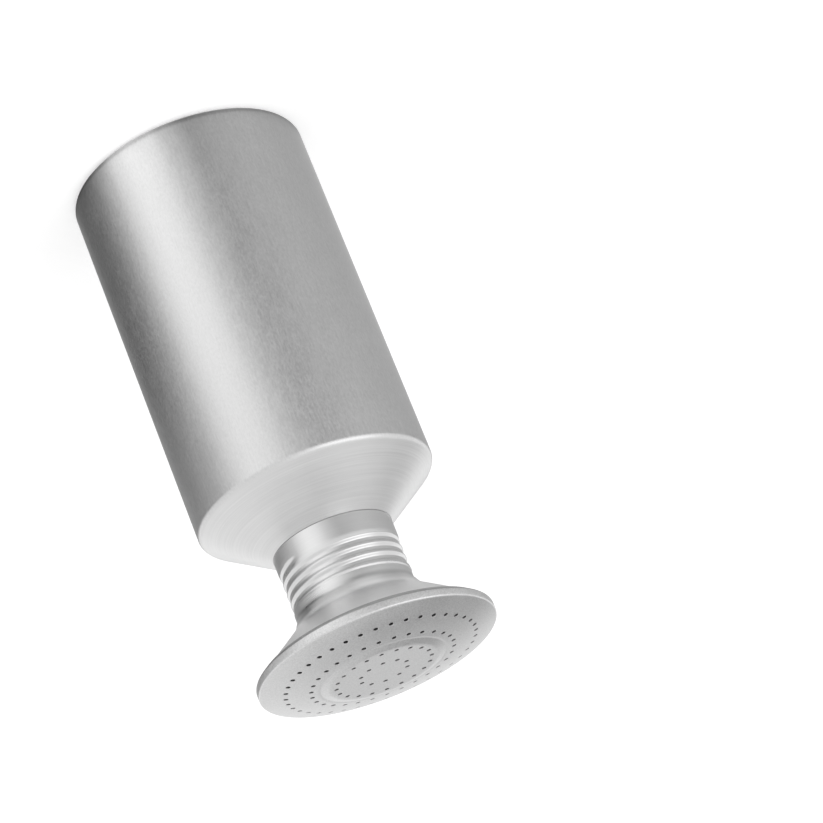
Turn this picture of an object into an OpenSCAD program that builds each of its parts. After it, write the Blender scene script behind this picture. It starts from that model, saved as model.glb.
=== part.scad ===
// Sprinkler bottle: a drawn metal bottle with a perforated rose that screws over its neck.
// Lengths are in millimetres. The bottle stands on z = 0 and the rose is on top.
// Angles are measured from +X towards +Y.

/* [Bottle] */
// Outer radius of the bottle
bottle_r = 43; // [36:0.5:60]
// Height of the straight side, up to the shoulder edge
side_h = 136.5; // [80:0.5:220]
// Height of the conical shoulder
shoulder_h = 16.3; // [10:0.1:26]
// Thickness of the bottle's base, side and shoulder
bottle_wall = 1; // [0.7:0.1:1.8]
// Rounding of the bottom edge
foot_round = 3; // [2.2:0.1:6]
// Rounding of the shoulder edge
shoulder_round = 1.6; // [0.8:0.1:4]
// Width of the ring that the bottle stands on
foot_w = 4; // [2:0.5:10]
// Depth of the dished base behind that ring
base_dish = 1.4; // [0.6:0.1:4]

/* [Neck] */
// Height of the neck above the shoulder
neck_h = 20.2; // [19:0.1:24]
// Thickness of the neck wall
neck_wall = 2; // [1.7:0.1:3]
// Gap between the neck and the skirt around it
neck_gap = 0.15; // [0.1:0.01:0.3]
// Gap between the shoulder and the skirt's free edge
edge_gap = 0.3; // [0.2:0.05:1]

/* [Screw thread] */
// Rise of the thread in one turn
pitch = 3.7; // [3.5:0.1:4.2]
// Turns of the groove that is rolled into the skirt
turns = 3.2; // [2.4:0.1:3.2]
// Depth of the rolled groove
groove_depth = 0.8; // [0.5:0.05:0.9]
// Width of the rolled groove, from the foot of one flank to the foot of the other
groove_w = 3; // [2.4:0.1:3.2]
// Height of the groove's start above the skirt's free edge
groove_start = 7.3; // [6:0.1:9]
// Direction in which the groove starts
groove_angle = -58; // [-180:1:180]
// Gap between the skirt's thread and the neck's thread
thread_gap = 0.3; // [0.2:0.05:0.35]

/* [Seal] */
// Section diameter of the rubber ring in the neck
seal_d = 1.4; // [1:0.1:1.5]
// Height of the rubber ring above the shoulder
seal_h = 3.6; // [2:0.1:4.4]
// Gap between the rubber ring and the metal beside it
seal_gap = 0.05; // [0.02:0.01:0.1]

/* [Horn] */
// Outer radius of the screw skirt
skirt_r = 21.6; // [19:0.1:26]
// Length of the skirt, up to the corner where it turns into the horn
skirt_h = 26.5; // [25:0.1:34]
// Thickness of the skirt and horn
horn_wall = 0.8; // [0.6:0.05:1.2]
// Rounding of the throat between skirt and horn
throat_round = 7.8; // [4:0.1:9]
// Slope of the horn above level
horn_slope = 37.5; // [28:0.5:44]

/* [Rose] */
// Outer radius of the rose
rose_r = 42.9; // [39:0.1:55]
// Thickness of the rose plate
rose_wall = 0.5; // [0.4:0.05:0.8]
// Height of the dome's crest above the edge of the rose
dome_h = 4.8; // [3:0.1:9]
// How far the dome swells above a straight cone
dome_bulge = 0.7; // [0.3:0.1:1.5]
// Height of the band around the rose, up to the corner where the dome begins
band_h = 3; // [1.8:0.1:6]
// Rounding between the band and the dome
rim_round = 0.8; // [0.8:0.1:2]
// Radius of the flat top of the boss
boss_r = 19.6; // [19:0.1:21]
// Height of the boss above the dome
boss_h = 0.85; // [0.5:0.05:2]
// Width of the step around the boss
boss_step_w = 2.9; // [1.5:0.1:2.9]
// Width of the hem folded over the horn's edge
hem_w = 2; // [1:0.1:4]
// Gap between the hem and the horn
hem_gap = 0.05; // [0.02:0.01:0.2]

/* [Holes] */
// Diameter of the holes in the rose
hole_d = 1.6; // [0.8:0.1:2.4]
// Spacing between the rings of holes
hole_pitch = 8.58; // [8:0.01:8.8]
// Number of rings of holes
hole_rings = 4; // [1:1:4]
// Number of holes in the innermost ring, which each further ring adds again
ring_holes = 10; // [4:1:12]
// Direction of the first hole in each ring
hole_angle = 11.6; // [0:0.1:36]

/* [Hidden] */
$fn = 96;

metal = [0.78, 0.79, 0.8];
metal_bright = [0.84, 0.85, 0.86];
rubber = [0.12, 0.12, 0.13];

arc_steps = 6;       // chords in each rounded corner
turn_steps = 36;     // sections of the thread in one turn
trough_step = 0.4;   // spacing of the points across half a trough
clear = 0.3;         // how far the edges of a cut stand off the surface they open
root = 0.2;          // how deep the inner thread is rooted in the skirt's wall
fade_angle = 30;     // angle over which the thread fades in and out
lead_in = 30;        // angle by which the neck's groove runs on past the skirt's ridge
ridge_share = 0.89;  // width of the ridge inside the skirt as a share of the groove's
shelf_margin = 0.1;  // how far the shelf under the skirt stands out past it
seal_play = 0.3;     // how much wider the slot is than the ring
edge_round = 0.4;    // rounding of the small metal edges
bend_round = 1;      // rounding where a sheet is bent
dome_steps = 8;      // chords across the dome's section

shoulder_z = side_h + shoulder_h;
lip_z = shoulder_z + neck_h;
skirt_z = shoulder_z + edge_gap;
skirt_in_r = skirt_r - horn_wall;
neck_r = skirt_in_r - neck_gap;
bore_r = neck_r - neck_wall;
shelf_r = skirt_r + shelf_margin;

thread_z = skirt_z + groove_start;
ridge_w = ridge_share * groove_w;
neck_groove_w = ridge_w + 2 * thread_gap;
neck_groove_depth = groove_depth - neck_gap + thread_gap;

seal_z = shoulder_z + seal_h;
seal_r = skirt_in_r - seal_gap - seal_d / 2;
seal_slot_w = seal_d + seal_play;

corner_z = skirt_z + skirt_h;
horn_r = rose_r - rose_wall - hem_gap;
back_z = corner_z + (rose_r - skirt_r) * tan(horn_slope) - (hem_gap + rose_wall) / cos(horn_slope);
edge_z = back_z + band_h;
crest_r = boss_r + boss_step_w;
crest_z = edge_z + dome_h;
top_z = crest_z + boss_h;

// The dome's section is an arc over a chord from its crest to the edge
dome_w = rose_r - crest_r;
dome_chord = norm([dome_w, dome_h]);
dome_section_r = (pow(dome_chord / 2, 2) + pow(dome_bulge, 2)) / (2 * dome_bulge);
crest_slope = atan2(dome_h, dome_w) - asin(dome_chord / 2 / dome_section_r);

// Outlines are lists of corners [r, z, rounding]; each rounded corner becomes the points of its arc
function unit(v) = v / norm(v);
function flat(p) = [p.x, p.y];
function corner_arc(before, here, after) =
    len(here) < 3 || here[2] == 0 ? [flat(here)] :
    let (
        u = unit(flat(before) - flat(here)),
        v = unit(flat(after) - flat(here)),
        half = acos(u * v) / 2,
        reach = here[2] / tan(half),
        centre = flat(here) + unit(u + v) * here[2] / sin(half),
        a = flat(here) + u * reach - centre,
        b = flat(here) + v * reach - centre,
        bend = 180 - 2 * half
    )
    [for (i = [0:arc_steps])
        centre + (a * sin(bend * (1 - i / arc_steps)) + b * sin(bend * i / arc_steps)) / sin(bend)];
function rounded(path) =
    let (n = len(path))
    [for (i = [0:n - 1]) each corner_arc(path[(i + n - 1) % n], path[i], path[(i + 1) % n])];

// Section of a rolled groove or ridge that fades with share: points [radial, axial] of a cosine-shaped
// trough, whose edges lie at the distance back outside the surface
function trough(depth, width, back, share) =
    [for (w = [-1:trough_step:1]) [back - (depth + back) * share * (1 + cos(180 * w)) / 2, w * width / 2]];

// Height of the helix at an angle; it climbs anticlockwise, as a right-hand thread does
function helix_z(angle) = thread_z + pitch * (angle - groove_angle) / 360;

// A trough swept along the helix at radius r, with its edges at the distance back outside that radius.
// Its depth fades to nothing over fade degrees at each end.
module thread(r, depth, width, back, from, to, fade) {
    steps = ceil((to - from) / 360 * turn_steps);
    angles = [for (i = [0:steps]) from + (to - from) * i / steps];
    share = [for (a = angles) max(0.02, min(1, (a - from) / fade, (to - a) / fade))];
    section = [for (s = share) concat(
        [[2 * back, -width / 2]], trough(depth, width, back, s), [[2 * back, width / 2]])];
    n = len(section[0]);
    points = [for (i = [0:steps]) for (p = section[i])
        [(r + p.x) * cos(angles[i]), (r + p.x) * sin(angles[i]), helix_z(angles[i]) + p.y]];
    sides = [for (i = [0:steps - 1]) for (j = [0:n - 1])
        let (a = i * n + j, b = i * n + (j + 1) % n) each [[a, b + n, b], [a, a + n, b + n]]];
    ends = [[for (j = [0:n - 1]) j], [for (j = [n - 1:-1:0]) steps * n + j]];
    polyhedron(points, concat(sides, ends), convexity = 10);
}

// The bottle: dished base, straight side, conical shoulder and threaded neck in one shell
module bottle() {
    slope = atan2(shoulder_h, bottle_r - shelf_r);
    in_r = bottle_r - bottle_wall;
    drop = bottle_wall / cos(slope);
    dish_r = bottle_r - foot_round - foot_w;
    outline = rounded([
        [0, base_dish],
        [dish_r - base_dish, base_dish, bend_round],
        [dish_r, 0, edge_round],
        [bottle_r, 0, foot_round],
        [bottle_r, side_h, shoulder_round],
        [shelf_r, shoulder_z],
        [neck_r, shoulder_z],
        [neck_r, lip_z, edge_round],
        [bore_r, lip_z, edge_round],
        [bore_r, side_h + (bottle_r - bore_r) * tan(slope) - drop, bend_round],
        [in_r, side_h + bottle_wall * tan(slope) - drop, shoulder_round],
        [in_r, bottle_wall, foot_round - bottle_wall],
        [dish_r, bottle_wall, edge_round],
        [dish_r - base_dish, base_dish + bottle_wall, bend_round],
        [0, base_dish + bottle_wall]
    ]);
    groove_from = groove_angle - lead_in;
    groove_to = groove_angle + 360 * (lip_z + neck_groove_w - thread_z) / pitch;
    color(metal)
    difference() {
        rotate_extrude() polygon(outline);
        thread(neck_r, neck_groove_depth, neck_groove_w, clear, groove_from, groove_to, lead_in / 2);
        translate([0, 0, seal_z - seal_slot_w / 2])
        difference() {
            cylinder(r = neck_r + clear, h = seal_slot_w);
            translate([0, 0, -clear])
                cylinder(r = seal_r - seal_d / 2 - seal_gap, h = seal_slot_w + 2 * clear);
        }
    }
}

// Rubber ring in the slot below the neck's thread
module neck_seal() {
    color(rubber)
    translate([0, 0, seal_z])
        rotate_extrude() translate([seal_r, 0]) circle(d = seal_d, $fn = 24);
}

// The horn: a screw skirt with a rolled thread that flares out to carry the rose
module rose_horn() {
    function back(r) = corner_z + (r - skirt_r) * tan(horn_slope);
    rise = horn_wall / cos(horn_slope);
    outline = rounded([
        [skirt_in_r, skirt_z],
        [skirt_r, skirt_z, edge_round],
        [skirt_r, corner_z, throat_round],
        [horn_r, back(horn_r)],
        [horn_r, back(horn_r) + rise],
        [skirt_in_r, back(skirt_in_r) + rise, throat_round + horn_wall]
    ]);
    groove_end = groove_angle + 360 * turns;
    color(metal)
    difference() {
        union() {
            rotate_extrude() polygon(outline);
            thread(skirt_in_r, groove_depth, ridge_w, root, groove_angle, groove_end, fade_angle);
        }
        thread(skirt_r, groove_depth, groove_w, clear, groove_angle, groove_end, fade_angle);
    }
}

// The rose: a domed plate with a flat boss and rings of holes, hemmed over the horn's edge
module rose_plate() {
    function back(r, gap) = corner_z + (r - skirt_r) * tan(horn_slope) - gap / cos(horn_slope);
    // The dome at a depth below its outer face, from the slope it has there, and that slope from a radius
    centre = [crest_r, crest_z] - dome_section_r * [sin(crest_slope), cos(crest_slope)];
    function dome(depth, slope) = centre + (dome_section_r - depth) * [sin(slope), cos(slope)];
    function slope_at(depth, r) = asin((r - centre.x) / (dome_section_r - depth));
    function arc(depth, r) =
        let (end_slope = slope_at(depth, r))
        [for (i = [0:dome_steps]) dome(depth, crest_slope + (end_slope - crest_slope) * i / dome_steps)];
    function corner_last(points, round) =
        [for (i = [0:len(points) - 1]) i == len(points) - 1 ? concat(points[i], round) : points[i]];
    in_r = rose_r - rose_wall;
    hem_r = rose_r - hem_w;
    outside = corner_last(arc(0, rose_r), rim_round);
    outline = rounded(concat(
        [[0, top_z - rose_wall], [boss_r - rose_wall / 2, top_z - rose_wall, bend_round - rose_wall]],
        corner_last(arc(rose_wall, in_r), rim_round - rose_wall),
        [[in_r, back(in_r, hem_gap)], [hem_r, back(hem_r, hem_gap)]],
        [[hem_r, back(hem_r, hem_gap + rose_wall)], [rose_r, back_z, edge_round]],
        [for (i = [len(outside) - 1:-1:0]) outside[i]],
        [[boss_r, top_z, bend_round], [0, top_z]]
    ));
    color(metal_bright)
    difference() {
        rotate_extrude() polygon(outline);
        for (ring = [1:hole_rings])
            let (
                r = ring * hole_pitch,
                count = ring * ring_holes,
                tilt = r < crest_r ? 0 : slope_at(0, r),
                z = r < crest_r ? top_z : dome(0, tilt).y
            )
            for (i = [0:count - 1])
                rotate([0, 0, hole_angle + 360 * i / count]) translate([r, 0, z]) rotate([0, tilt, 0])
                    cylinder(d = hole_d, h = 4 * rose_wall, center = true, $fn = 24);
    }
}

bottle();
neck_seal();
rose_horn();
rose_plate();
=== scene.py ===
import math
import bmesh
import bpy
import numpy as np
from mathutils import Matrix, Vector


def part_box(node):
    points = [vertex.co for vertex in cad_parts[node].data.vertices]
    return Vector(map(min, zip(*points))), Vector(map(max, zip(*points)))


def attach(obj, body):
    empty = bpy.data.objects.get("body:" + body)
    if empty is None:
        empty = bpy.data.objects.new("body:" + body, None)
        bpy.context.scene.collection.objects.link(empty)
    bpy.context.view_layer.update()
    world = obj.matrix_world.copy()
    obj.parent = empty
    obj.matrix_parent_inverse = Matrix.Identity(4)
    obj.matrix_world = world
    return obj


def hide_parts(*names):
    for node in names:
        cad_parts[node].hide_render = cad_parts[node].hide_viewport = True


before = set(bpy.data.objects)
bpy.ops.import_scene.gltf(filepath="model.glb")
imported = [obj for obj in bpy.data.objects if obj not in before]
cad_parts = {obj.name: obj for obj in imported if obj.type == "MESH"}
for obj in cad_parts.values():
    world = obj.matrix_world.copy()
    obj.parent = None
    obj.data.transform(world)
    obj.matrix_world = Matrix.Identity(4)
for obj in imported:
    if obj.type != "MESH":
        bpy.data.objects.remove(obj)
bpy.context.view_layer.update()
print("frame loaded:", sorted(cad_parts))

# Shapes are worked out in millimetres and put in the scene in metres.
mm = 0.001
turn = 2 * math.pi
columns = 240  # round the axis; an even number of them falls to each hole in every ring
around = np.arange(columns) * turn / columns


def lowHigh(node):
    # lowest and highest corner of a CAD node, in millimetres
    low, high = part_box(node)
    return np.array(low) / mm, np.array(high) / mm


_, bottleHigh = lowHigh("bottle")
sealLow, sealHigh = lowHigh("neck_seal")
hornLow, hornHigh = lowHigh("rose_horn")
_, roseHigh = lowHigh("rose_plate")


def unit(v):
    return v / np.linalg.norm(v)


def rounded(corners, steps):
    # outline through corners (radius, height, rounding), each rounding turned into an arc:
    # centre + (a sin(bend (1 - t)) + b sin(bend t)) / sin(bend), with t from 0 to 1
    points = []
    for i, here in enumerate(corners):
        if len(here) < 3:
            points.append(np.array(here[:2], float))
            continue
        before, after = corners[i - 1], corners[i + 1]
        p = np.array(here[:2], float)
        u, v = unit(np.array(before[:2], float) - p), unit(np.array(after[:2], float) - p)
        half = math.acos(float(np.clip(u @ v, -1, 1))) / 2
        bend = math.pi - 2 * half
        centre = p + unit(u + v) * here[2] / math.sin(half)
        a, b = p + u * here[2] / math.tan(half) - centre, p + v * here[2] / math.tan(half) - centre
        t = np.linspace(0, 1, steps + 1)[:, None]
        points += list(centre + (a * np.sin(bend * (1 - t)) + b * np.sin(bend * t)) / math.sin(bend))
    return np.array(points)


def withRows(outline, hold=0.25, longest=4.0, fine=None):
    # more points along each straight stretch: one at the distance hold from each end, which keeps its
    # shading flat, the rest evenly; between the heights of fine = (low, high, step) every step
    rows = [outline[0]]
    for a, b in zip(outline[:-1], outline[1:]):
        length = np.linalg.norm(b - a)
        if length < 1e-6:
            continue
        t = [1.0]
        if fine and min(a[1], b[1]) < fine[1] and max(a[1], b[1]) > fine[0] and length > fine[2]:
            t = list(np.linspace(0, 1, int(length / fine[2]) + 2)[1:])
        elif length > 4 * hold:
            t = list(np.linspace(hold / length, 1 - hold / length, int(length / longest) + 2)) + [1.0]
        rows += [a + (b - a) * s for s in t]
    return np.array(rows)


def turned(profile):
    # each point (radius, height) of a profile carried round the axis: (r cos a, r sin a, z)
    r, z = profile[:, 0][:, None], profile[:, 1][:, None]
    return np.stack([r * np.cos(around), r * np.sin(around), z + 0 * around], axis=-1)


def quadsOf(rows, across=columns, closed=False, start=0):
    # quads between neighbouring rows of a grid whose columns go all the way round
    i = np.arange(rows if closed else rows - 1)[:, None]
    j = np.arange(across)[None, :]
    ahead, beside = (i + 1) % rows, (j + 1) % across
    corners = (i * across + j, i * across + beside, ahead * across + beside, ahead * across + j)
    return np.stack(corners, axis=-1).reshape(-1, 4) + start


def addPiece(name, points, quads, body, nodes, sharp=35):
    # a closed mesh from points in millimetres, with doubles merged where seams and poles meet
    mesh = bpy.data.meshes.new(name)
    points = np.asarray(points, float).reshape(-1, 3) * mm
    mesh.vertices.add(len(points))
    mesh.vertices.foreach_set("co", points.ravel())
    mesh.loops.add(quads.size)
    mesh.loops.foreach_set("vertex_index", quads.ravel().astype(np.int32))
    mesh.polygons.add(len(quads))
    mesh.polygons.foreach_set("loop_start", np.arange(len(quads), dtype=np.int32) * 4)
    mesh.update(calc_edges=True)
    mesh.validate()
    work = bmesh.new()
    work.from_mesh(mesh)
    samePlace, noLength = 2e-6, 5e-7
    bmesh.ops.remove_doubles(work, verts=work.verts, dist=samePlace)
    bmesh.ops.dissolve_degenerate(work, edges=work.edges, dist=noLength)
    bmesh.ops.recalc_face_normals(work, faces=work.faces)
    openEdges = sum(len(e.link_faces) != 2 for e in work.edges)
    work.to_mesh(mesh)
    work.free()
    mesh.shade_smooth()
    mesh.set_sharp_from_angle(angle=math.radians(sharp))
    piece = bpy.data.objects.new(name, mesh)
    bpy.context.scene.collection.objects.link(piece)
    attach(piece, body)
    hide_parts(*nodes)
    print(name, "vertices", len(mesh.vertices), "faces", len(mesh.polygons), "open edges", openEdges)
    return piece


screw = {
    "pitch": 3.7,
    "start": hornLow[2] + 7.3,  # height of the groove where it begins
    "startAngle": math.radians(-58),
    "turns": 3.2,
    "depth": 0.8,
    "mouth": 3.7,  # width over which the skirt is drawn in by the groove
    "floor": 0.7,  # width of the groove's level floor
    "insideWidth": 2.68,  # of the ridge that it leaves inside
    "fade": math.radians(30),
    "reach": 1.7,  # how far beyond the groove's middle its closely set rows go
    "neckDepth": 0.95,
    "neckWidth": 3.28,
}


def grooveWave(heights, width, firstAngle, lastAngle, fade, floor=0.0):
    # 1 on the helix z = start + pitch (a - startAngle) / one turn and 0 at half the width from it, as
    # (1 + cos(pi t)) / 2 across, outside a level floor; it fades in and out smoothly at the helix's ends
    heights = heights[:, None]
    nearest = np.mod(around - firstAngle, turn) + firstAngle
    wave = np.zeros((len(heights), columns))
    for lap in range(int((lastAngle - firstAngle) / turn) + 1):
        a = nearest + lap * turn
        centre = screw["start"] + screw["pitch"] * (a - screw["startAngle"]) / turn
        share = np.clip(np.minimum(a - firstAngle, lastAngle - a) / fade, 0, 1)
        across = np.clip((np.abs(heights - centre) - floor / 2) / ((width - floor) / 2), 0, 1)
        wave = np.maximum(wave, share * share * (3 - 2 * share) * (1 + np.cos(math.pi * across)) / 2)
    return wave


def smooth(x, low, high):
    # 0 up to low, 1 from high on, t t (3 - 2 t) between
    t = np.clip((x - low) / (high - low), 0, 1)
    return t * t * (3 - 2 * t)


def drawnIn(points, shift):
    # moves each point towards the axis by shift
    radius = np.hypot(points[..., 0], points[..., 1])
    scale = 1 - shift / np.maximum(radius, 1e-6)
    return points * np.stack([scale, scale, np.ones_like(scale)], axis=-1)


# Bottle: one drawn shell with a dished base, a conical shoulder and a neck with a screw groove.
bottle = {
    "radius": bottleHigh[0],
    "side": 136.5,  # height of the straight side
    "shoulder": 152.8,  # height of the shoulder's upper edge
    "shelfRadius": 21.7,
    "lip": bottleHigh[2],
    "neckRadius": 20.65,
    "boreRadius": 18.65,
    "wall": 1.0,
    "footRound": 3.0,
    "shoulderRound": 2.5,
    "dishRadius": 36.0,
    "dish": 1.4,
    "edgeRound": 0.4,
    "bendRound": 1.0,
    "shelfRound": 0.15,  # at the level shelf under the head's skirt
    "slotEdge": 0.12,  # rounding of the slot's edges, and of its floor
    "slotRound": 0.2,
    "join": 3.0,  # how far below the lip the outside's outline goes over into the inside's
    "grooveMargin": 0.2,  # between the closely set rows of the groove and the neck's ends
    "grooveStep": 0.16,
    "runOn": math.radians(30),  # how much before the skirt's groove the neck's begins
    "insideStep": 12,
}
seal = {
    "thick": sealHigh[2] - sealLow[2],
    "height": (sealHigh[2] + sealLow[2]) / 2,
    "outerRadius": sealHigh[0],
    "slotWidth": 1.7,
    "slotGap": 0.05,
    "sides": 24,
}


def makeBottle():
    b = bottle
    slope = math.atan2(b["shoulder"] - b["side"], b["radius"] - b["shelfRadius"])
    drop = b["wall"] / math.cos(slope)
    inRadius = b["radius"] - b["wall"]
    slotLow, slotHigh = (seal["height"] + s * seal["slotWidth"] / 2 for s in (-1, 1))
    slotRadius = seal["outerRadius"] - seal["thick"] - seal["slotGap"]
    outside = withRows(rounded([
        [0, b["dish"]],
        [b["dishRadius"] - b["dish"], b["dish"], b["bendRound"]],
        [b["dishRadius"], 0, b["edgeRound"]],
        [b["radius"], 0, b["footRound"]],
        [b["radius"], b["side"], b["shoulderRound"]],
        [b["shelfRadius"], b["shoulder"], b["shelfRound"]],
        [b["neckRadius"], b["shoulder"], b["shelfRound"]],
        [b["neckRadius"], slotLow, b["slotEdge"]],
        [slotRadius, slotLow, b["slotRound"]],
        [slotRadius, slotHigh, b["slotRound"]],
        [b["neckRadius"], slotHigh, b["slotEdge"]],
        [b["neckRadius"], b["lip"], b["edgeRound"]],
        [b["boreRadius"], b["lip"], b["edgeRound"]],
        [b["boreRadius"], b["lip"] - b["join"]],
    ], steps=8), fine=(slotHigh + b["grooveMargin"], b["lip"] - b["grooveMargin"], b["grooveStep"]))
    boreFoot = b["side"] + (b["radius"] - b["boreRadius"]) * math.tan(slope) - drop
    inside = withRows(rounded([
        [b["boreRadius"], b["lip"] - b["join"]],
        [b["boreRadius"], boreFoot, b["bendRound"]],
        [inRadius, b["side"] + b["wall"] * math.tan(slope) - drop, b["shoulderRound"]],
        [inRadius, b["wall"], b["footRound"] - b["wall"]],
        [b["dishRadius"], b["wall"], b["edgeRound"]],
        [b["dishRadius"] - b["dish"], b["dish"] + b["wall"], b["bendRound"]],
        [0, b["dish"] + b["wall"]],
    ], steps=6), longest=b["insideStep"])
    profile = np.vstack([outside, inside[1:]])
    firstAngle = screw["startAngle"] - b["runOn"]
    lastAngle = screw["startAngle"] + turn * (b["lip"] + screw["neckWidth"] - screw["start"]) / screw["pitch"]
    wave = grooveWave(profile[:, 1], screw["neckWidth"], firstAngle, lastAngle, b["runOn"] / 2)
    onNeck = (np.arange(len(profile)) < len(outside)) & (profile[:, 1] > slotHigh)
    # across the lip the groove fades out towards the bore
    share = onNeck * np.clip((profile[:, 0] - b["boreRadius"]) / (b["neckRadius"] - b["boreRadius"]), 0, 1)
    points = drawnIn(turned(profile), screw["neckDepth"] * wave * share[:, None])
    return addPiece("bottleShell", points, quadsOf(len(profile)), "bottle", ["bottle"])


def makeSeal():
    # a torus: a circle carried round the axis
    t = np.arange(seal["sides"]) * turn / seal["sides"]
    radius, middle = seal["thick"] / 2, seal["outerRadius"] - seal["thick"] / 2
    profile = np.stack([middle + radius * np.cos(t), seal["height"] + radius * np.sin(t)], axis=-1)
    return addPiece("neckSealRing", turned(profile), quadsOf(len(profile), closed=True), "seal",
                    ["neck_seal"])


# Horn: the screw skirt, the throat and the cone that carries the rose, in one spun sheet.
horn = {
    "skirtRadius": 21.6,
    "bottom": hornLow[2] - 0.26,  # the skirt all but touches the shoulder
    "corner": hornLow[2] + 26.5,  # height where skirt and cone would meet without a throat
    "wall": 0.8,
    "throat": 177.2,  # height where the throat begins to open, first to throatLean from the axis
    "throatLean": math.radians(30),
    "throatRound": 3.2,
    "coneRound": 11.0,  # of the second bend, into the cone
    "slope": math.radians(37.5),
    "radius": hornHigh[0],
    "edgeRound": 0.2,
    "innerEdgeRound": 0.25,
    "join": 2.0,  # how far above the skirt's bottom the outline begins, inside
    "crest": 0.15,  # how much less than the skirt the crests between two turns of the groove stand out
    "grooveTop": 2.5,  # how far below the corner the sheet stops following the groove
    "rowStep": 0.13,  # between the closely set rows of the groove, outside and inside
    "insideRowStep": 0.2,
    "waist": 0.28,  # how much narrower the skirt is above its thread
    "waistFrom": (172.7, 173.9),  # heights between which it narrows, and then widens again
    "waistTo": (175.6, 178.0),
    "runOut": math.radians(-30),  # where the thread ends, the waist is shallower
    "runOutFrom": 0.3,  # cosine of the angle from there at which that begins
    "runOutShare": 0.7,
}


def hornBack(radius):
    # height of the cone's outer face
    return horn["corner"] + (radius - horn["skirtRadius"]) * math.tan(horn["slope"])


def makeHorn():
    h = horn
    inRadius = h["skirtRadius"] - h["wall"]
    rise = h["wall"] / math.cos(h["slope"])
    lean, steep = math.tan(h["throatLean"]), math.tan(h["slope"])
    bend = (h["corner"] - h["throat"]) / (1 - lean * steep)  # rise from the first bend to the second
    inner = h["wall"] * math.tan(h["throatLean"] / 2)  # the inner face bends a little lower
    low = screw["start"] - screw["reach"]
    high = screw["start"] + screw["pitch"] * screw["turns"] + screw["reach"]
    outside = withRows(rounded([
        [inRadius, h["bottom"] + h["join"]],
        [inRadius, h["bottom"], h["innerEdgeRound"]],
        [h["skirtRadius"], h["bottom"], h["edgeRound"]],
        [h["skirtRadius"], h["throat"], h["throatRound"]],
        [h["skirtRadius"] + bend * lean, h["throat"] + bend, h["coneRound"]],
        [h["radius"], hornBack(h["radius"])],
    ], steps=12), fine=(low, high, h["rowStep"]))
    inside = withRows(rounded([
        [h["radius"], hornBack(h["radius"])],
        [h["radius"], hornBack(h["radius"]) + rise],
        [inRadius + (bend + rise) * lean, h["throat"] + bend + rise, h["coneRound"] + h["wall"]],
        [inRadius, h["throat"] + inner, h["throatRound"] + h["wall"]],
        [inRadius, h["bottom"] + h["join"]],
    ], steps=12), fine=(low, high, h["insideRowStep"]))
    profile = np.vstack([outside, inside[1:-1]])
    heights = profile[:, 1]
    first, last = screw["startAngle"], screw["startAngle"] + turn * screw["turns"]
    groove = grooveWave(heights, screw["mouth"], first, last, screw["fade"], screw["floor"])
    swell = grooveWave(heights, 2 * screw["pitch"], first, last, screw["fade"])
    swell = 2 * np.minimum(swell, 1 - swell)  # 1 half way between two turns, 0 on the groove
    ridge = grooveWave(heights, screw["insideWidth"], first, last, screw["fade"])
    nearGroove = heights < h["corner"] - h["grooveTop"]
    isInner = np.arange(len(profile)) >= len(outside)
    onSkirt = profile[:, 0] > h["skirtRadius"] - 1e-3
    isOutside = ~isInner & onSkirt & nearGroove
    isInside = isInner & nearGroove
    shift = isOutside[:, None] * (screw["depth"] * groove + h["crest"] * swell * (heights < high)[:, None])
    shift = shift + isInside[:, None] * screw["depth"] * ridge
    waist = (smooth(heights, *h["waistFrom"]) - smooth(heights, *h["waistTo"]))[:, None]
    nearEnd = smooth(np.cos(around - h["runOut"]), h["runOutFrom"], 1)
    shift = shift + h["waist"] * waist * (1 - h["runOutShare"] * nearEnd)
    points = drawnIn(turned(profile), shift)
    return addPiece("sprinklerHorn", points, quadsOf(len(profile), closed=True), "sprinkler_head",
                    ["rose_horn"])


# Rose: a domed plate with a raised boss and rings of punched holes, hemmed over the horn's edge.
rose = {
    "radius": roseHigh[0],
    "top": roseHigh[2],
    "wall": 0.8,
    "bossRadius": 19.6,
    "bossHeight": 0.85,
    "bossRound": 6.0,
    "stepWidth": 2.9,
    "footRound": 1.5,
    "ledgeWidth": 0.9,  # of the almost level ring round the boss's foot
    "ledgeDrop": 0.02,
    "domeFrom": 27.0,  # radius where the dome's arc begins
    "domeHeight": 4.8,
    "domeBulge": 0.7,
    "domeRows": 20,
    "bandHeight": 2.9,
    "rimRound": 0.7,
    "hemWidth": 2.0,
    "hemRound": 1.0,
    "holeRadius": 0.8,
    "holePitch": 8.58,
    "rings": 4,
    "ringHoles": 10,
    "holeAngle": math.radians(11.6),
    "burr": 0.14,  # width and depth of the edge that the punch draws in
    "cellHalf": 2.2,  # half the width of the band in which a ring's holes are laid out
    "cellSides": 6,  # points up each side of a cell
    "outerSteps": (1.0, 0.6, 0.3, 0.1, 0.0),  # loops from a cell's border, at 1, to its hole, at 0
    "burrSteps": (0.3, 0.65, 1.0),  # over the rounded edge
    "innerSteps": (0.0, 0.15, 0.5, 1.0),  # and out again on the inner face
    "shortest": 0.08,  # lengths along the outline between two rows
    "longest": 1.5,
    "sharp": 50,  # degrees from which an edge is shaded sharp
}


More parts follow.
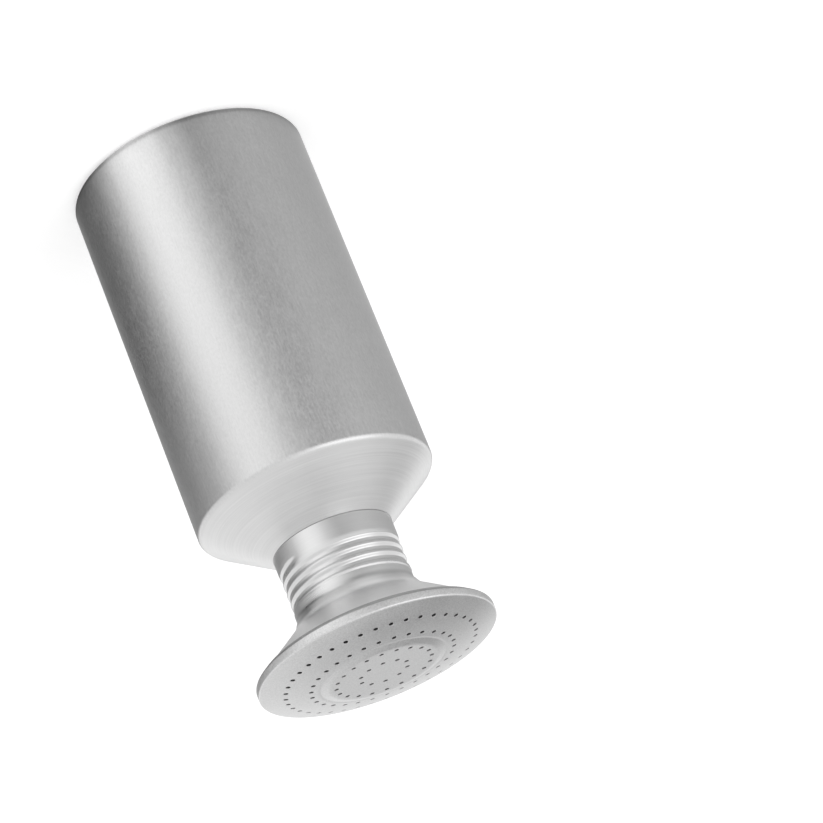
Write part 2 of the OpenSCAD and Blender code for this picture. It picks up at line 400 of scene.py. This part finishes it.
def roseOutline():
    r = rose
    crestRadius, crest = r["bossRadius"] + r["stepWidth"], r["top"] - r["bossHeight"]
    edge, back = crest - r["domeHeight"], crest - r["domeHeight"] - r["bandHeight"]
    # the dome is an arc over the chord from crest to edge, with its centre under the chord's middle
    width, height, bulge = r["radius"] - crestRadius, r["domeHeight"], r["domeBulge"]
    chord = math.hypot(width, height)
    section = (chord ** 2 / 4 + bulge ** 2) / (2 * bulge)
    centre = np.array([crestRadius + width / 2, crest - height / 2])
    centre -= (section - bulge) * np.array([height, width]) / chord
    domeRadii = np.linspace(r["domeFrom"], r["radius"], r["domeRows"])[:-1]
    dome = centre[1] + np.sqrt(section ** 2 - (domeRadii - centre[0]) ** 2)
    return rounded([
        [0, r["top"]],
        [r["bossRadius"], r["top"], r["bossRound"]],
        [crestRadius, crest, r["footRound"]],
        [crestRadius + r["ledgeWidth"], crest - r["ledgeDrop"], r["footRound"]],
        *[list(p) for p in zip(domeRadii, dome)],
        [r["radius"], edge, r["rimRound"]],
        [r["radius"], back, r["hemRound"]],
        [r["radius"] - r["hemWidth"], back - r["hemWidth"] * math.tan(horn["slope"])],
    ], steps=9)


def makeRose():
    r = rose
    outline = roseOutline()
    along = np.concatenate([[0], np.cumsum(np.linalg.norm(np.diff(outline, axis=0), axis=1))])

    def at(s):
        return np.stack([np.interp(s, along, outline[:, 0]), np.interp(s, along, outline[:, 1])], axis=-1)

    def surface(angle, s, depth):
        # the point at the distance s along the outline and at the angle, sunk by depth along the normal
        near = 0.03  # the tangent is taken over twice this length
        tangent = at(s + near) - at(s - near)
        tangent /= np.linalg.norm(tangent, axis=-1, keepdims=True)
        normal = np.stack([tangent[..., 1], -tangent[..., 0]], axis=-1)
        p = at(s) + np.broadcast_to(depth, np.shape(s))[..., None] * normal
        return np.stack([p[..., 0] * np.cos(angle), p[..., 0] * np.sin(angle), p[..., 1]], axis=-1)

    points, quads = [], []

    def addGrid(angle, s, depth, across):
        grid = surface(angle, s, depth)
        start = sum(len(p) for p in points)
        points.append(grid.reshape(-1, 3))
        quads.append(quadsOf(grid.shape[0], across, start=start))

    def rowsBetween(low, high):
        # the outline's own points between two places, and more where a stretch is too long
        stops = [low, *along[(along > low + r["shortest"]) & (along < high - r["shortest"])], high]
        rows = [low]
        for a, b in zip(stops[:-1], stops[1:]):
            rows += list(np.linspace(a, b, int((b - a) / r["longest"]) + 2)[1:])
        return np.array(rows)

    def addBothFaces(low, high):
        for depth in (0.0, r["wall"]):
            s = rowsBetween(low, high)[:, None] + 0 * around
            addGrid(around + r["holeAngle"], s, depth, columns)

    def addHoles(count, middle):
        # one cell a hole, made of loops that go from the cell's border on the outer face to the hole's
        # circle, down its wall, and out again to the border on the inner face
        span, side = columns // count, r["cellSides"]
        cell = turn / count
        low, high = middle - r["cellHalf"], middle + r["cellHalf"]
        radius = float(at(middle)[0])
        even = np.linspace(-0.5, 0.5, span + 1)[:-1]
        up = np.linspace(low, high, side + 1)[:-1]
        borderAngle = cell * np.concatenate([even, np.full(side, 0.5), -even, np.full(side, -0.5)])
        borderS = np.concatenate([np.full(span, low), up, np.full(span, high), low + high - up])
        direction = np.arctan2(borderS - middle, borderAngle * radius)
        wide = r["holeRadius"] + r["burr"]
        loops = [(t, wide, 0) for t in r["outerSteps"]]
        for t in r["burrSteps"]:
            loops.append((0.0, wide - r["burr"] * math.sin(t * math.pi / 2),
                          r["burr"] * (1 - math.cos(t * math.pi / 2))))
        loops += [(t, r["holeRadius"], r["wall"]) for t in r["innerSteps"]]
        blend, size, depth = (np.array(c, float)[:, None] for c in zip(*loops))
        holeAngle = size * np.cos(direction) / radius
        holeS = middle + size * np.sin(direction)
        angle = holeAngle + (borderAngle - holeAngle) * blend
        s = holeS + (borderS - holeS) * blend
        for i in range(count):
            addGrid(angle + i * cell + r["holeAngle"], s, depth, len(direction))

    front = int(np.argmax(outline[:, 0] > r["radius"] - r["rimRound"]))
    place = 0.0
    for ring in range(1, r["rings"] + 1):
        middle = float(np.interp(ring * r["holePitch"], outline[:front, 0], along[:front]))
        addBothFaces(place, middle - r["cellHalf"])
        addHoles(ring * r["ringHoles"], middle)
        place = middle + r["cellHalf"]
    addBothFaces(place, along[-1])
    end = np.full((2, columns), along[-1])
    addGrid(around + r["holeAngle"], end, np.array([[0.0], [r["wall"]]]), columns)  # edge of the hem
    return addPiece("sprinklerRose", np.vstack(points), np.vstack(quads), "sprinkler_head",
                    ["rose_plate"], r["sharp"])


bottleShell = makeBottle()
neckSealRing = makeSeal()
sprinklerHorn = makeHorn()
sprinklerRose = makeRose()
print("pieces made")


# Materials: nodes are made by short helpers, and every pattern reads Object coordinates.
class Nodes:
    def __init__(self, name):
        self.material = bpy.data.materials.new(name)
        self.material.use_nodes = True
        self.tree = self.material.node_tree
        self.tree.nodes.clear()
        source = self.add("ShaderNodeTexCoord").outputs
        self.place, self.facing = source["Object"], source["Normal"]

    def add(self, kind, **settings):
        node = self.tree.nodes.new(kind)
        for key, value in settings.items():
            setattr(node, key, value)
        return node

    def put(self, socket, value):
        if isinstance(value, bpy.types.NodeSocket):
            self.tree.links.new(value, socket)
        else:
            socket.default_value = value

    def math(self, operation, a, b=0.0, c=0.0):
        node = self.add("ShaderNodeMath", operation=operation)
        for socket, value in zip(node.inputs, (a, b, c)):
            self.put(socket, value)
        return node.outputs[0]

    def blend(self, a, b, share):
        # share of a, and the rest of b
        return self.math("MULTIPLY_ADD", a, share, self.math("MULTIPLY", b, 1 - share))

    def noise(self, scale, detail, rough, vector=None):
        node = self.add("ShaderNodeTexNoise")
        self.put(node.inputs["Vector"], vector or self.place)
        node.inputs["Scale"].default_value = scale
        node.inputs["Detail"].default_value = detail
        node.inputs["Roughness"].default_value = rough
        return node.outputs["Fac"]

    def stretched(self, *scale):
        node = self.add("ShaderNodeMapping")
        self.put(node.inputs["Vector"], self.place)
        node.inputs["Scale"].default_value = scale
        return node.outputs[0]

    def split(self, vector=None):
        node = self.add("ShaderNodeSeparateXYZ")
        self.put(node.inputs[0], vector or self.place)
        return node.outputs

    def rings(self):
        # (radius, height, a little of x), so a noise on it runs in rings that are not quite even
        drift = 0.02
        x, y, z = self.split()
        node = self.add("ShaderNodeCombineXYZ")
        radius = self.math("SQRT", self.math("ADD", self.math("MULTIPLY", x, x), self.math("MULTIPLY", y, y)))
        self.put(node.inputs[0], radius)
        self.put(node.inputs[1], z)
        self.put(node.inputs[2], self.math("MULTIPLY", x, drift))
        return node.outputs[0]

    def ramp(self, value, low, high, fromLow=0.0, fromHigh=1.0):
        node = self.add("ShaderNodeMapRange")
        self.put(node.inputs["Value"], value)
        for key, number in zip(("From Min", "From Max", "To Min", "To Max"), (fromLow, fromHigh, low, high)):
            node.inputs[key].default_value = number
        return node.outputs[0]

    def between(self, share, a, b):
        node = self.add("ShaderNodeMix")
        self.put(node.inputs["Factor"], share)
        self.put(node.inputs["A"], a)
        self.put(node.inputs["B"], b)
        return node.outputs["Result"]

    def tint(self, share, a, b):
        node = self.add("ShaderNodeMix", data_type="RGBA")
        self.put(node.inputs[0], share)
        node.inputs[6].default_value = (*a, 1)
        node.inputs[7].default_value = (*b, 1)
        return node.outputs[2]

    def stepped(self, value, stops):
        # a smooth grey that goes through the stops (place, tone)
        ramp = self.add("ShaderNodeValToRGB")
        self.put(ramp.inputs[0], value)
        ramp.color_ramp.interpolation = "EASE"
        while len(ramp.color_ramp.elements) < len(stops):
            ramp.color_ramp.elements.new(0.5)
        for element, (place, tone) in zip(ramp.color_ramp.elements, stops):
            element.position = place
            element.color = (tone, tone, tone, 1)
        return ramp.outputs[0]

    def scaled(self, colour, factor):
        node = self.add("ShaderNodeVectorMath", operation="SCALE")
        self.put(node.inputs[0], colour)
        self.put(node.inputs["Scale"], factor)
        return node.outputs[0]

    def bump(self, height, distance, strength):
        node = self.add("ShaderNodeBump")
        self.put(node.inputs["Height"], height)
        node.inputs["Distance"].default_value = distance
        node.inputs["Strength"].default_value = strength
        return node.outputs[0]

    def finish(self, colour, rough, normal, metallic=1.0):
        shader = self.add("ShaderNodeBsdfPrincipled")
        self.put(shader.inputs["Base Color"], colour)
        self.put(shader.inputs["Roughness"], rough)
        self.put(shader.inputs["Metallic"], metallic)
        self.put(shader.inputs["Normal"], normal)
        out = self.add("ShaderNodeOutputMaterial")
        self.tree.links.new(shader.outputs[0], out.inputs["Surface"])
        return self.material


bottleFinish = {
    "dark": (0.545, 0.545, 0.545),
    "light": (0.705, 0.705, 0.705),
    "shoulderPaintedLight": 1.12,  # painted light: how much brighter in colour the upward facing shoulder is made
    "roughLow": 0.30,
    "roughHigh": 0.44,
    "grainDepth": 0.000005,
    "grainStrength": 0.8,
    "contrast": (0.32, 0.68),  # of the pattern's noise, which its range is spread over
    "streaks": (2200, 2200, 110),  # noise scales a metre along x, y and z
    "grain": (1500, 1500, 750),
    "blotches": (130, 38),  # noise scales of the finer and the coarser ones
    "ringLines": (1700, 520),
    "shoulderFrom": 0.1362,  # above it the shell is turned, below it is brushed along the axis
    "shoulderTo": 0.1376,
}


def brushedBottle():
    f = bottleFinish
    n = Nodes("brushedBottleMetal")
    height = n.split()[2]
    turnedShare = n.ramp(height, 0, 1, f["shoulderFrom"], f["shoulderTo"])
    streaks = n.noise(1, detail=3, rough=0.6, vector=n.stretched(*f["streaks"]))
    grain = n.noise(1, detail=2, rough=0.6, vector=n.stretched(*f["grain"]))
    fine, coarse = f["blotches"]
    blotches = n.blend(n.noise(fine, detail=2, rough=0.6), n.noise(coarse, detail=2, rough=0.5), share=0.6)
    fineRings, coarseRings = (n.noise(scale, detail=2, rough=0.6, vector=n.rings())
                              for scale in f["ringLines"])
    ringLines = n.ramp(n.blend(fineRings, coarseRings, share=0.75), low=0.2, high=0.8)
    brushed = n.blend(grain, streaks, share=0.65)
    pattern = n.ramp(n.between(turnedShare, brushed, ringLines), 0, 1, *f["contrast"])
    colour = n.tint(n.blend(pattern, blotches, share=0.7), f["dark"], f["light"])
    # painted light: the shoulder's colour is brightened
    colour = n.scaled(colour, n.ramp(turnedShare, 1, f["shoulderPaintedLight"]))
    rough = n.ramp(n.blend(pattern, blotches, share=0.65), f["roughLow"], f["roughHigh"],
                   fromLow=0.2, fromHigh=0.8)
    return n.finish(colour, rough, n.bump(pattern, f["grainDepth"], f["grainStrength"]))


hornFinish = {
    "dark": (0.63, 0.63, 0.63),
    "light": (0.75, 0.75, 0.75),
    "roughLow": 0.26,
    "roughHigh": 0.36,
    "lineDepth": 0.000008,
    "lineStrength": 0.8,
    "lines": 1900,  # noise scales a metre
    "smudges": 60,
    # height and tone: painted shade, a darker line where the throat begins, and painted highlights, brighter
    # where it turns to the cone
    "paintedLightTones": [(0.1750, 1.0), (0.1771, 0.84), (0.1788, 1.0), (0.1812, 1.23), (0.1845, 1.13), (0.1890, 1.09)],
}


def turnedHorn():
    f = hornFinish
    n = Nodes("turnedHornMetal")
    lines = n.noise(f["lines"], detail=3, rough=0.6, vector=n.rings())
    smudges = n.noise(f["smudges"], detail=3, rough=0.55)
    colour = n.tint(n.blend(lines, smudges, share=0.6), f["dark"], f["light"])
    heights, paintedLightTones = zip(*f["paintedLightTones"])
    low, high, brightest = heights[0], heights[-1], max(paintedLightTones)
    stops = [((z - low) / (high - low), tone / brightest) for z, tone in f["paintedLightTones"]]
    # painted shade and highlight: the colour is darkened and brightened by height along the throat
    strength = n.stepped(n.ramp(n.split()[2], 0, 1, low, high), stops)
    colour = n.scaled(n.scaled(colour, strength), brightest)
    rough = n.ramp(n.blend(lines, smudges, share=0.5), f["roughLow"], f["roughHigh"],
                   fromLow=0.3, fromHigh=0.7)
    return n.finish(colour, rough, n.bump(lines, f["lineDepth"], f["lineStrength"]))


roseFinish = {
    "dark": (0.55, 0.55, 0.55),
    "light": (0.77, 0.77, 0.77),
    "hemPaintedShade": 0.6,  # painted shade under the rim band: the hem's back is darkened to this share up to the height hemFrom, and full from hemTo on
    "hemFrom": 0.1953,
    "hemTo": 0.1957,
    "holeWallPaintedShade": 0.5,  # painted shade in the holes: share of colour left on their walls, which are known by how steep they are
    "holeSteep": 0.4,
    "holeFlat": 0.8,
    "holesWithin": 0.041,
    "roughLow": 0.36,
    "roughHigh": 0.46,
    "blastDepth": 0.000005,
    "blastStrength": 0.7,
    "contrast": (0.3, 0.7),
    "blast": 2000,  # noise scales a metre
    "clouds": 70,
}


def blastedRose():
    f = roseFinish
    n = Nodes("blastedRoseMetal")
    blast = n.ramp(n.noise(f["blast"], detail=2, rough=0.6), 0, 1, *f["contrast"])
    clouds = n.noise(f["clouds"], detail=3, rough=0.5)
    colour = n.tint(n.blend(blast, clouds, share=0.7), f["dark"], f["light"])
    # painted shade: the hem's back, under the rim band, is darkened
    colour = n.scaled(colour, n.ramp(n.split()[2], f["hemPaintedShade"], 1, f["hemFrom"], f["hemTo"]))
    # painted shade: steep faces, the holes' walls inside holesWithin, are darkened
    upright = n.math("ABSOLUTE", n.split(n.facing)[2])
    holeWallShade = n.ramp(upright, f["holeWallPaintedShade"], 1, f["holeSteep"], f["holeFlat"])
    outside = n.math("GREATER_THAN", n.split(n.rings())[0], f["holesWithin"])
    colour = n.scaled(colour, n.math("MAXIMUM", holeWallShade, outside))
    rough = n.ramp(n.blend(blast, clouds, share=0.5), f["roughLow"], f["roughHigh"],
                   fromLow=0.3, fromHigh=0.7)
    return n.finish(colour, rough, n.bump(blast, f["blastDepth"], f["blastStrength"]))


sealFinish = {
    "dark": (0.012, 0.012, 0.013),
    "light": (0.03, 0.03, 0.032),
    "roughLow": 0.5,
    "roughHigh": 0.72,
    "specks": 1800,  # noise scale a metre
    "speckDepth": 0.00002,
    "speckStrength": 0.6,
}


def sealRubber():
    f = sealFinish
    n = Nodes("sealRubber")
    specks = n.noise(f["specks"], detail=3, rough=0.6)
    colour = n.tint(specks, f["dark"], f["light"])
    rough = n.ramp(specks, f["roughLow"], f["roughHigh"], fromLow=0.3, fromHigh=0.7)
    return n.finish(colour, rough, n.bump(specks, f["speckDepth"], f["speckStrength"]), metallic=0.0)


bottleShell.data.materials.append(brushedBottle())
sprinklerHorn.data.materials.append(turnedHorn())
sprinklerRose.data.materials.append(blastedRose())
neckSealRing.data.materials.append(sealRubber())
print("materials made")


# Stage: a pale sweep, flat under the bottle and curved up into a backdrop behind it.
stage = {
    "front": -3.0,
    "bend": 1.3,  # where the floor starts to rise
    "bendRadius": 0.6,
    "bendSteps": 16,
    "top": 0.75,
    "halfWidth": 3.0,
    "colour": (0.90, 0.90, 0.90),
    "lift": 0.30,  # how much the floor glows towards the camera and in gloss, so that it reads white
}


def makeStage():
    s = stage
    bend = np.linspace(0, math.pi / 2, s["bendSteps"] + 1)[1:]
    line = np.vstack([
        [[s["front"], 0], [s["bend"], 0]],
        np.stack([s["bend"] + s["bendRadius"] * np.sin(bend), s["bendRadius"] * (1 - np.cos(bend))], axis=-1),
        [[s["bend"] + s["bendRadius"], s["top"]]],
    ])
    points = [(x, y, z) for y, z in line for x in (-s["halfWidth"], s["halfWidth"])]
    faces = [(2 * i, 2 * i + 1, 2 * i + 3, 2 * i + 2) for i in range(len(line) - 1)]
    mesh = bpy.data.meshes.new("sweep")
    mesh.from_pydata(points, [], faces)
    mesh.shade_smooth()
    sweep = bpy.data.objects.new("sweep", mesh)
    bpy.context.scene.collection.objects.link(sweep)
    n = Nodes("palePaper")
    diffuse = n.add("ShaderNodeBsdfDiffuse")
    diffuse.inputs["Color"].default_value = (*s["colour"], 1)
    rays = n.add("ShaderNodeLightPath").outputs
    mirrored = n.math("MAXIMUM", rays["Is Glossy Ray"], rays["Is Transmission Ray"])
    seen = n.math("MAXIMUM", rays["Is Camera Ray"], mirrored)
    glow = n.add("ShaderNodeEmission")
    n.put(glow.inputs["Strength"], n.math("MULTIPLY", seen, s["lift"]))
    both = n.add("ShaderNodeAddShader")
    out = n.add("ShaderNodeOutputMaterial")
    n.tree.links.new(diffuse.outputs[0], both.inputs[0])
    n.tree.links.new(glow.outputs[0], both.inputs[1])
    n.tree.links.new(both.outputs[0], out.inputs["Surface"])
    mesh.materials.append(n.material)


# Lamps: name, place, what it is turned to, size, and the brightness of its face.
lamps = [
    ("frontSoftbox", (-0.92, -0.84, 0.62), (0, 0, 0.12), (1.5, 0.85), 0.75),
]
# The room: bright walls and ceiling, with a darker part of the ceiling behind the bottle.
studio = {
    "tone": 0.98,
    "dark": 0.34,
    "towards": (-0.25, 0.66, 0.71),  # direction of the darker part
    "inside": 0.985,  # cosines of the angles from it at which it begins and ends to fade
    "outside": 0.83,
}


def makeLamps():
    for name, place, target, size, brightness in lamps:
        data = bpy.data.lights.new(name, "AREA")
        data.shape = "RECTANGLE"
        data.size, data.size_y = size
        data.energy = brightness * math.pi * size[0] * size[1]
        lamp = bpy.data.objects.new(name, data)
        bpy.context.scene.collection.objects.link(lamp)
        lamp.location = place
        lamp.rotation_mode = "QUATERNION"
        lamp.rotation_quaternion = (Vector(target) - Vector(place)).to_track_quat("-Z", "Y")
        lamp.visible_camera = False
    world = bpy.data.worlds.new("studioRoom")
    world.use_nodes = True
    tree = world.node_tree
    place = tree.nodes.new("ShaderNodeTexCoord")
    nearness = tree.nodes.new("ShaderNodeVectorMath")
    nearness.operation = "DOT_PRODUCT"
    nearness.inputs[1].default_value = Vector(studio["towards"]).normalized()
    tone = tree.nodes.new("ShaderNodeMapRange")
    tone.interpolation_type = "SMOOTHSTEP"
    for key, name in zip(("From Min", "From Max", "To Min", "To Max"), ("outside", "inside", "tone", "dark")):
        tone.inputs[key].default_value = studio[name]
    tree.links.new(place.outputs["Generated"], nearness.inputs[0])
    tree.links.new(nearness.outputs["Value"], tone.inputs["Value"])
    tree.links.new(tone.outputs[0], tree.nodes["Background"].inputs["Strength"])
    tree.nodes["Background"].inputs[0].default_value = (1, 1, 1, 1)
    bpy.context.scene.world = world


# Card: a glowing ring on the floor round the bottle, no lamp, which only its gloss sees, in place of the
# flags and bounce boards set round bright metal. Its tones are painted reflections: a place on it takes its
# tone from the side of the bottle that mirrors it towards the front, so that the tones run straight up the
# bottle.
card = {
    "inner": 0.0421,
    "outer": 0.9,
    "height": 0.0006,
    "rings": 3,
    "spokes": 96,
    "rounds": 6,  # of working out the side of the bottle
    "footShade": 0.6,  # painted shade for the foot to mirror: share of its glow left close to the bottle, up to footFrom; all of it from footTo on
    "footFrom": 0.0440,
    "footTo": 0.0480,
    "nearTo": 0.20,  # distance up to which the near tones hold
    "farFrom": 0.36,  # and from which the far ones do, which the head mirrors
    # painted reflections: side of the bottle from the front (-Y) towards +X in degrees, near tone, far tone
    "paintedLightTones": [(-90, 0.85, 0.40), (-82, 0.66, 0.47), (-70, 0.53, 0.50), (-58, 0.55, 0.55), (-35, 0.60, 0.60),
              (-22, 0.53, 0.52), (-11, 0.42, 0.42), (1, 0.79, 0.72), (10, 1.30, 1.15), (21, 1.45, 1.28),
              (29, 1.20, 1.08), (38, 0.53, 0.66), (48, 0.20, 0.46), (60, 0.12, 0.30), (70, 0.15, 0.30),
              (80, 0.40, 0.42), (90, 0.90, 0.80)],
}


def makeCard():
    # a flat ring: radius from inner to outer, direction all the way round
    rings, spokes = card["rings"], card["spokes"]
    radii = np.linspace(card["inner"], card["outer"], rings)
    directions = np.arange(spokes) * turn / spokes
    grid = np.stack([np.outer(radii, np.cos(directions)), np.outer(radii, np.sin(directions)),
                     np.full((rings, spokes), card["height"])], axis=-1)
    mesh = bpy.data.meshes.new("toneCard")
    mesh.from_pydata(grid.reshape(-1, 3).tolist(), [], quadsOf(rings, spokes).tolist())
    ring = bpy.data.objects.new("toneCard", mesh)
    bpy.context.scene.collection.objects.link(ring)
    n = Nodes("paintedReflectionGlow")
    x, y, _ = n.split()
    direction = n.math("ARCTAN2", x, n.math("MULTIPLY", y, -1))
    distance = n.math("SQRT", n.math("ADD", n.math("MULTIPLY", x, x), n.math("MULTIPLY", y, y)))
    share = n.math("MINIMUM", n.math("DIVIDE", bottle["radius"] * mm, distance), 1)
    # the side a solves sin(2 a - direction) = share sin(a), found by a = (direction + asin(share sin a)) / 2
    side = n.math("MULTIPLY", direction, 0.5)
    for _ in range(card["rounds"]):
        bend = n.math("ARCSINE", n.math("MULTIPLY", share, n.math("SINE", side)))
        side = n.math("MULTIPLY", n.math("ADD", direction, bend), 0.5)
    degrees, near, far = zip(*card["paintedLightTones"])
    brightest = max(near + far)
    share = n.ramp(side, 0, 1, -math.pi / 2, math.pi / 2)
    places = [angle / 180 + 0.5 for angle in degrees]
    colours = [n.stepped(share, [(place, tone / brightest) for place, tone in zip(places, paintedLightTones)])
               for paintedLightTones in (near, far)]
    mixed = n.add("ShaderNodeMix", data_type="RGBA")
    n.put(mixed.inputs[0], n.ramp(distance, 0, 1, card["nearTo"], card["farFrom"]))
    n.put(mixed.inputs[6], colours[0])
    n.put(mixed.inputs[7], colours[1])
    # painted shade near the foot: the glow is dimmed close to the bottle
    strength = n.ramp(distance, brightest * card["footShade"], brightest, card["footFrom"], card["footTo"])
    glow = n.add("ShaderNodeEmission")
    n.put(glow.inputs["Strength"], strength)
    n.put(glow.inputs["Color"], mixed.outputs[2])
    out = n.add("ShaderNodeOutputMaterial")
    n.tree.links.new(glow.outputs[0], out.inputs["Surface"])
    mesh.materials.append(n.material)
    for kind in ("camera", "diffuse", "transmission", "volume_scatter", "shadow"):
        setattr(ring, "visible_" + kind, False)


# Camera: from a perspective fit to the photograph. The bottle is seen from above, head down in the frame.
camera = {
    "place": (-0.0420, -1.1267, 0.6004),
    "right": (-0.92430, 0.14989, 0.35102),
    "up": (-0.38168, -0.36297, -0.85005),
    "lens": 154.6,
    "sensor": 36,
    "clip": (0.01, 50),
}


def makeCamera():
    right, up = Vector(camera["right"]).normalized(), Vector(camera["up"]).normalized()
    back = right.cross(up).normalized()
    up = back.cross(right)
    data = bpy.data.cameras.new("photoCamera")
    data.lens = camera["lens"]
    data.sensor_width = camera["sensor"]
    data.clip_start, data.clip_end = camera["clip"]
    seen = bpy.data.objects.new("photoCamera", data)
    bpy.context.scene.collection.objects.link(seen)
    turnOf = Matrix((right, up, back)).transposed().to_4x4()
    seen.matrix_world = Matrix.Translation(camera["place"]) @ turnOf
    bpy.context.scene.camera = seen


makeStage()
makeCard()
makeLamps()
makeCamera()
bpy.context.scene.view_settings.view_transform = "Standard"
print("stage, lamps and camera made")
